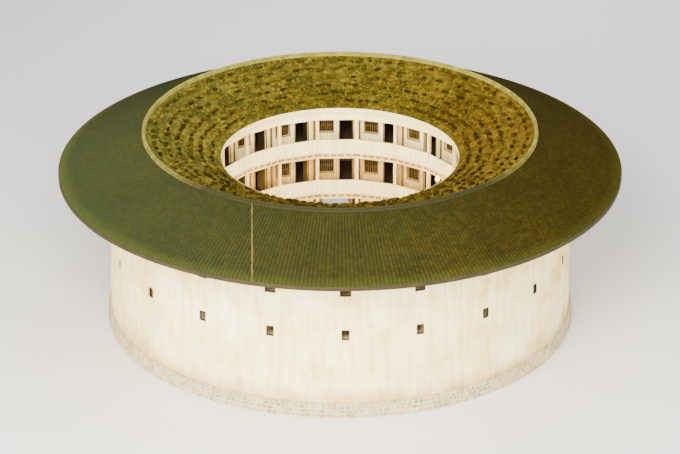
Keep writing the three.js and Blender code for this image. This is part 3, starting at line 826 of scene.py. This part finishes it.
# %% Plinth stones
PLINTH_FOOT_R, PLINTH_TOP_R, PLINTH_H = 15.35, 15.25, 1.0
STONE_DEPTH, STONE_FILL, GATE_CLEAR = 0.22, 0.97, 1.25
COURSE_HEIGHT, STONE_LENGTH = (0.19, 0.30), (0.22, 0.46)  # least and most
plinth_stone = river_stone("grey_river_stone", ("857a5e", "a3977a", "c4b896"))
plinth_mortar = lime_mortar("earth_and_lime_mortar", ("a8946a", "beab7e", "d0bf94"))
centres, sizes, turns = [], [], []
z = 0.0
while z < PLINTH_H - 0.12:
    course = min(rng.uniform(*COURSE_HEIGHT), PLINTH_H - z)
    face_r = PLINTH_FOOT_R + (PLINTH_TOP_R - PLINTH_FOOT_R) * (z + course / 2) / PLINTH_H
    bearing = 0.0
    while bearing < 2 * math.pi - 0.012:
        length = rng.uniform(*STONE_LENGTH)
        middle = bearing + length / 2 / face_r
        bearing += length / face_r
        x, y, _ = point(middle, face_r, 0.0)
        if y > 0 and abs(x) < GATE_CLEAR + length / 2:
            continue
        height = z + course / 2 + rng.normal(0, 0.008)
        centres.append(point(middle, face_r - STONE_DEPTH / 2 + 0.02, height))
        sizes.append((length * STONE_FILL, STONE_DEPTH, course * STONE_FILL))
        turns.append(middle)
    z += course
vertices, faces = rounded_stones(centres, sizes, turns, dents=0.07)
vertices[:, 2] = np.maximum(vertices[:, 2], 0.001)
make_piece("plinth_stones", (vertices, faces), plinth_stone, sharp=60)
print(len(centres), "plinth stones")

# %% [markdown]
# ## Windows in the earth
# Each window in the earth is a stout frame of fir set near the outer face, with upright bars, so that nobody
# can climb in. Behind the bars it is open; painted shade darkens the tunnel, and the frame and bars are
# near-black fir, also painted shade. The bars are real members, because at a slant a painted bar has no depth.

# %% Outer windows
FRAME_SIDE, BAR_HALF, CLEAR = 0.06, 0.014, 0.001
FRAME_OUT, FRAME_DEPTH = 0.06, 0.10  # behind the wall's face, and from front to back
frame_rows, bar_rows = [], []
for (half, low, high), bars in ((SECOND_WINDOW, 3), (THIRD_WINDOW, 4)):
    face = wall_outer_r((low + high) / 2)
    near, far = face - FRAME_OUT - FRAME_DEPTH, face - FRAME_OUT
    edge, foot, top = half - CLEAR, low + CLEAR, high - CLEAR
    gap = edge - FRAME_SIDE
    sides = ((-edge, -gap, foot, top), (gap, edge, foot, top),
             (-gap, gap, foot, low + FRAME_SIDE), (-gap, gap, high - FRAME_SIDE, top))
    for bearing in bay_centres:
        frame_rows += [level(bearing, left, right, near, far, *span) for left, right, *span in sides]
        bar_rows += [level(bearing, middle - BAR_HALF, middle + BAR_HALF, near + 0.035, near + 0.063,
                           low + FRAME_SIDE, high - FRAME_SIDE)
                     for middle in np.linspace(-gap, gap, bars + 2)[1:-1]]
make_piece("outer_window_frames", members(frame_rows), shaded_fir_window)
make_piece("outer_window_bars", members(bar_rows), shaded_fir_window)

# %% [markdown]
# ## Galleries
# Each upper storey has a timber gallery in front of its rooms, with a boarded parapet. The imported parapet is
# one solid ring; here it becomes upright boards with narrow joints, a cap rail and a foot rail. The boards of
# one bay lie in one plane between two posts, as a carpenter would nail them.

# %% Parapets
POST_FACE = 8.5497
BAY_FLAT = math.cos(BAY / 2)
UPPER_FLOORS = {"second": 4.50, "third": 7.50}
PARAPET_BOARDS = 15
plane, reach = POST_FACE * BAY_FLAT, POST_FACE * math.sin(BAY / 2)
RAILS = ((1.0, 0.03, 0.001, 0.74, 0.82), (1.0, 0.03, 0.001, 0.10, 0.18),  # two rails behind the boards
         (0.985, 0.098, 0.002, 0.92, 1.0), (1.0, 0.075, 0.012, 0.0005, 0.062))  # cap rail, foot rail
for storey, floor in UPPER_FLOORS.items():
    rows = []
    for bearing in bay_centres:
        edges = np.linspace(-reach + 0.012, reach - 0.012, PARAPET_BOARDS + 1)
        for left, right in zip(edges[:-1], edges[1:]):
            depth = rng.uniform(0.026, 0.032)
            rows.append(level(bearing, left + 0.004, right - 0.004, plane - 0.03 - depth, plane - 0.03,
                              floor + 0.06, floor + 0.925))
        rows += [level(bearing, -reach * share, reach * share, plane - near, plane - far,
                       floor + low, floor + high) for share, near, far, low, high in RAILS]
    make_piece(f"{storey}_parapet_boards", members(rows), lit_fir_boards,
               (f"{storey}_gallery_parapet",))

# %% [markdown]
# ## Room walls
# Behind each gallery stands a boarded wall. Every bay has a door and a barred window, framed in heavier
# timber, with a post where two bays meet. Frames and bars cast the thin shadows that make the wall read as
# carpentry, which a pattern could not.

# %% Door and window frames of the rooms
ROOM_FACE_R = 9.88
STOREYS = {"ground": (0.30, 4.28), "second": (4.50, 7.28), "third": (7.50, 10.15)}
DOORWAY = (-1.10, -0.20, 0.12, 2.05)  # left, right, sill, head
ROOM_WINDOW = (0.25, 1.15, 1.00, 1.95)
DOOR_FRAME, TOUCH = 0.07, 0.0005
plane = ROOM_FACE_R * BAY_FLAT
near, far = plane - 0.025, plane - TOUCH


def framed(bearing, left, right, low, high):
    """The two upright members and the top one round an opening, outside its edges."""
    sides = ((left - DOOR_FRAME, left, low), (right, right + DOOR_FRAME, low), (left, right, high))
    return [level(bearing, a, b, near, far, bottom, high + DOOR_FRAME) for a, b, bottom in sides]


for storey, (floor, ceiling) in STOREYS.items():
    frames, bars = [], []
    for k, bearing in enumerate(bay_centres):
        if storey == "ground" and k == BAYS // 2:
            continue
        left, right, sill, head = DOORWAY
        frames += framed(bearing, left, right, floor + sill + 0.002, floor + head)
        left, right, sill, head = ROOM_WINDOW
        low, high = floor + sill, floor + head
        frames += framed(bearing, left, right, low, high)
        frames += [level(bearing, left - 0.10, right + 0.10, plane - 0.05, far, low - 0.06, low),
                   level(bearing, -1.50, 1.50, plane - 0.02, far, floor + 2.20, floor + 2.32)]
        bars += [level(bearing, x - 0.012, x + 0.012, plane + 0.05, plane + 0.074, low + 0.001, high - 0.001)
                 for x in np.linspace(left, right, 8)[1:-1]]
        middle = (low + high) / 2
        bars.append(level(bearing, left + 0.001, right - 0.001, plane + 0.055, plane + 0.07,
                          middle - 0.012, middle + 0.012))
    frames += [level(bearing, -0.075, 0.075, ROOM_FACE_R - 0.06, ROOM_FACE_R - 0.015, floor + 0.001,
                     ceiling - 0.001) for bearing in bay_centres + BAY / 2]
    make_piece(f"{storey}_front_frames", members(frames), fir_door)
    make_piece(f"{storey}_window_bars", members(bars), fir_door)

# %% [markdown]
# ## Joists under the galleries
# The upper floors are boards on joists, and the joist ends show under the edge of each gallery. The packed
# floors are plain slabs, so a row of joist ends and an edge board are added under and in front of them.

# %% Floor edges
EDGE_R, JOIST_HALF, JOIST_DROP, BOARD_EDGE = 8.44, 0.05, 0.20, 0.05
edge, reach = EDGE_R * BAY_FLAT, EDGE_R * math.sin(BAY / 2)
for storey, floor in UPPER_FLOORS.items():
    rows = []
    for bearing in bay_centres:
        rows.append(level(bearing, -reach, reach, edge - 0.03, edge - TOUCH, floor - BOARD_EDGE,
                          floor + 0.002))
        rows += [level(bearing, x - JOIST_HALF, x + JOIST_HALF, edge - 0.05, edge - TOUCH,
                       floor - JOIST_DROP, floor - BOARD_EDGE) for x in np.linspace(-1.0, 1.0, 5)]
    make_piece(f"{storey}_floor_edge", members(rows), lit_fir_post)

# %% [markdown]
# ## Granite, beaten earth and iron
# The gate's frame is dressed granite: cut flat, faintly sparkling, a little smoother than the rest. The
# ground floor is earth beaten hard, the mattest surface here. Nails and the lamp's bracket are wrought iron,
# dark with old scale and rust, which gives a broken dull sheen.

# %% Granite, beaten earth and iron
def granite(name, shades):
    finish, place, add = new_finish(name, 0.72, 1.55)
    crystals = add("TexNoise", {"Vector": place, "Scale": per_metre(8), "Detail": 3, "Roughness": 0.7})
    clouds = add("TexNoise", {"Vector": place, "Scale": per_metre(500), "Detail": 4})
    colour = add("ValToRGB", [clouds], stops=zip((0.35, 0.52, 0.70), shades))
    specks = add("ValToRGB", [crystals], stops=[(0.36, "6d675c"), (0.52, "ffffff")])
    colour = add("Mix", {0: 0.5, 6: colour, 7: specks}, **MULTIPLY)
    return surface(finish, add, colour, crystals, 0.003)


def beaten_earth(name, shades):
    finish, place, add = new_finish(name, 0.95, 1.45)
    clouds = add("TexNoise", {"Vector": place, "Scale": per_metre(900), "Detail": 6})
    grit = add("TexNoise", {"Vector": place, "Scale": per_metre(30), "Detail": 2})  # real grit is 5 mm
    colour = add("ValToRGB", [clouds], stops=zip((0.35, 0.52, 0.70), shades))
    specks = add("ValToRGB", [grit], stops=[(0.35, "80694a"), (0.50, "ffffff")])
    colour = add("Mix", {0: 0.4, 6: colour, 7: specks}, **MULTIPLY)
    return surface(finish, add, colour, add("Math", [clouds, grit], operation="ADD"), 0.01)


def wrought_iron(name):
    finish, place, add = new_finish(name, 0.55)
    finish.node_tree.nodes["Principled BSDF"].inputs["Metallic"].default_value = 1.0
    rust = add("TexNoise", {"Vector": place, "Scale": per_metre(50), "Detail": 4})
    colour = add("ValToRGB", [rust], stops=[(0.40, "2c2926"), (0.60, "4a3324")])
    return surface(finish, add, colour, rust, 0.001)


dressed_stone = granite("dressed_granite", ("8c8270", "a69b86", "bcb19b"))
floor_earth = beaten_earth("beaten_earth_floor", ("8a6f4a", "a58a62", "bba27a"))
iron = wrought_iron("wrought_iron")
print("granite, beaten earth and iron ready")

# %% [markdown]
# ## The gate
# The one way in: a granite frame round two leaves of thick boards, which stand open along the passage. The
# packed leaves are plain slabs, so ledges and rows of nails are added, as they hold such a leaf together.

# %% Ledges and nails of the gate leaves
LEAF_FACE, LEDGE_DEPTH, NAIL_HALF = 1.10, 0.02, 0.012
LEDGE_HEIGHTS = (0.75, 1.75, 2.75)
ledges, nails = [], []
for side in (-1, 1):
    for height in LEDGE_HEIGHTS:
        face, front = side * LEAF_FACE, side * (LEAF_FACE - LEDGE_DEPTH)
        ledges.append(level(GATE, *sorted((face, front)), 13.99, 14.88, height - 0.06, height + 0.06))
        nails += [level(GATE, *sorted((front, front - side * NAIL_HALF)), radius - NAIL_HALF,
                        radius + NAIL_HALF, height - NAIL_HALF, height + NAIL_HALF)
                  for radius in np.linspace(14.07, 14.80, 7)]
make_piece("gate_leaf_ledges", members(ledges), lit_fir_post)
make_piece("gate_nails", members(nails), iron)

# %% [markdown]
# ## The lamp
# One lamp shines on the far gallery in the photograph: a shade of opal glass, smooth and milky, under the
# floor's edge. A lamp inside it would need many light samples, so the glass itself glows.

# %% Lamp
LAMP, LAMP_OUT = math.radians(126), 0.14
SHADE = [(0.0, 6.985), (0.10, 6.99), (0.145, 7.03), (0.148, 7.12), (0.13, 7.24), (0.09, 7.33), (0.05, 7.36),
         (0.0, 7.362)]  # radius and height, foot to top
opal, place, add = new_finish("opal_glass", 0.25)
glow = add("ValToRGB", [add("TexNoise", {"Vector": place, "Scale": per_metre(125), "Detail": 2})],
           stops=[(0.3, "ffb53d"), (0.7, "ffd98a")])
opal_shader = opal.node_tree.nodes["Principled BSDF"]
for socket in ("Base Color", "Emission Color"):
    opal.node_tree.links.new(glow, opal_shader.inputs[socket])
opal_shader.inputs["Emission Strength"].default_value = 9.0
radius, height = np.array(SHADE).T[..., None]
rings = point(np.radians(np.arange(0, 360, 15)), radius, height) + point(LAMP, edge - LAMP_OUT, 0.0)
make_piece("lamp_shade", tubes(rings[None]), opal, ("gallery_lamp",), sharp=60, weld=1e-5)
bracket = [level(LAMP, -0.02, 0.02, edge - 0.17, edge - TOUCH, 7.37, 7.40),
           level(LAMP, -0.012, 0.012, edge - LAMP_OUT - 0.012, edge - LAMP_OUT + 0.012, 7.345, 7.385)]
make_piece("lamp_bracket", members(bracket), iron)

# %% [markdown]
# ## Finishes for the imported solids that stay
# Plain timbers, floors and stones are already the right shape. They keep it, and only take a finish.

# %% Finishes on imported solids
FINISHES = {  # a solid takes the first finish whose words are in its name
    "second_room_wall": half_lit_boards, "room_wall": lit_fir_boards, "gallery_frieze": lit_fir_boards,
    "third_room_doors": shaded_fir_door, "room_doors": fir_door, "gallery_posts": lit_fir_post,
    "gate_leaf": lit_fir_post, "ridge_purlin": fir_ring, "wall_plate": fir_ring, "tie_beams": fir_beam,
    "second_floor": fir_floor, "third_floor": fir_floor, "ground_floor": floor_earth,
    "stone_plinth": plinth_mortar, "courtyard_curb": dressed_stone, "gate_frame": dressed_stone,
    "gate_passage_floor": dressed_stone, "gate_step": dressed_stone,
}
kept = []
for name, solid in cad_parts.items():
    finish = next((finish for words, finish in FINISHES.items() if words in name), None)
    if finish:
        solid.data.materials.clear()
        solid.data.materials.append(finish)
        kept.append(name)
print(len(kept), "packed solids keep their shape")

# %% [markdown]
# ## A plain floor
# A large pale floor gives the house a ground to stand on and takes its soft shadows. It belongs to the
# studio, not to the house. Two near-equal greys in patches 60 m across keep it from looking painted.

# %% Floor
FLOOR_HALF, FLOOR_Z = 900, -0.002
studio, place, add = new_finish("pale_studio_floor", 0.9)
tone = add("TexNoise", {"Vector": place, "Scale": per_metre(60000), "Detail": 1})
studio.node_tree.links.new(add("ValToRGB", [tone], stops=[(0.3, "dcdad6"), (0.7, "e0deda")]),
                           studio.node_tree.nodes["Principled BSDF"].inputs["Base Color"])
corners = [(x * FLOOR_HALF, y * FLOOR_HALF, FLOOR_Z) for x, y in ((-1, -1), (1, -1), (1, 1), (-1, 1))]
floor_mesh = bpy.data.meshes.new("studio_floor")
floor_mesh.from_pydata(corners, [], [(0, 1, 2, 3)])
floor_mesh.materials.append(studio)
put("studio_floor", floor_mesh)
print("studio floor:", 2 * FLOOR_HALF, "m across")

# %% [markdown]
# ## Triangles
# The pieces added are counted in triangles. The dressed house has to stay inside the box of the
# imported solids.

# %% Triangles added
print("triangles added:", sum(made.values()))
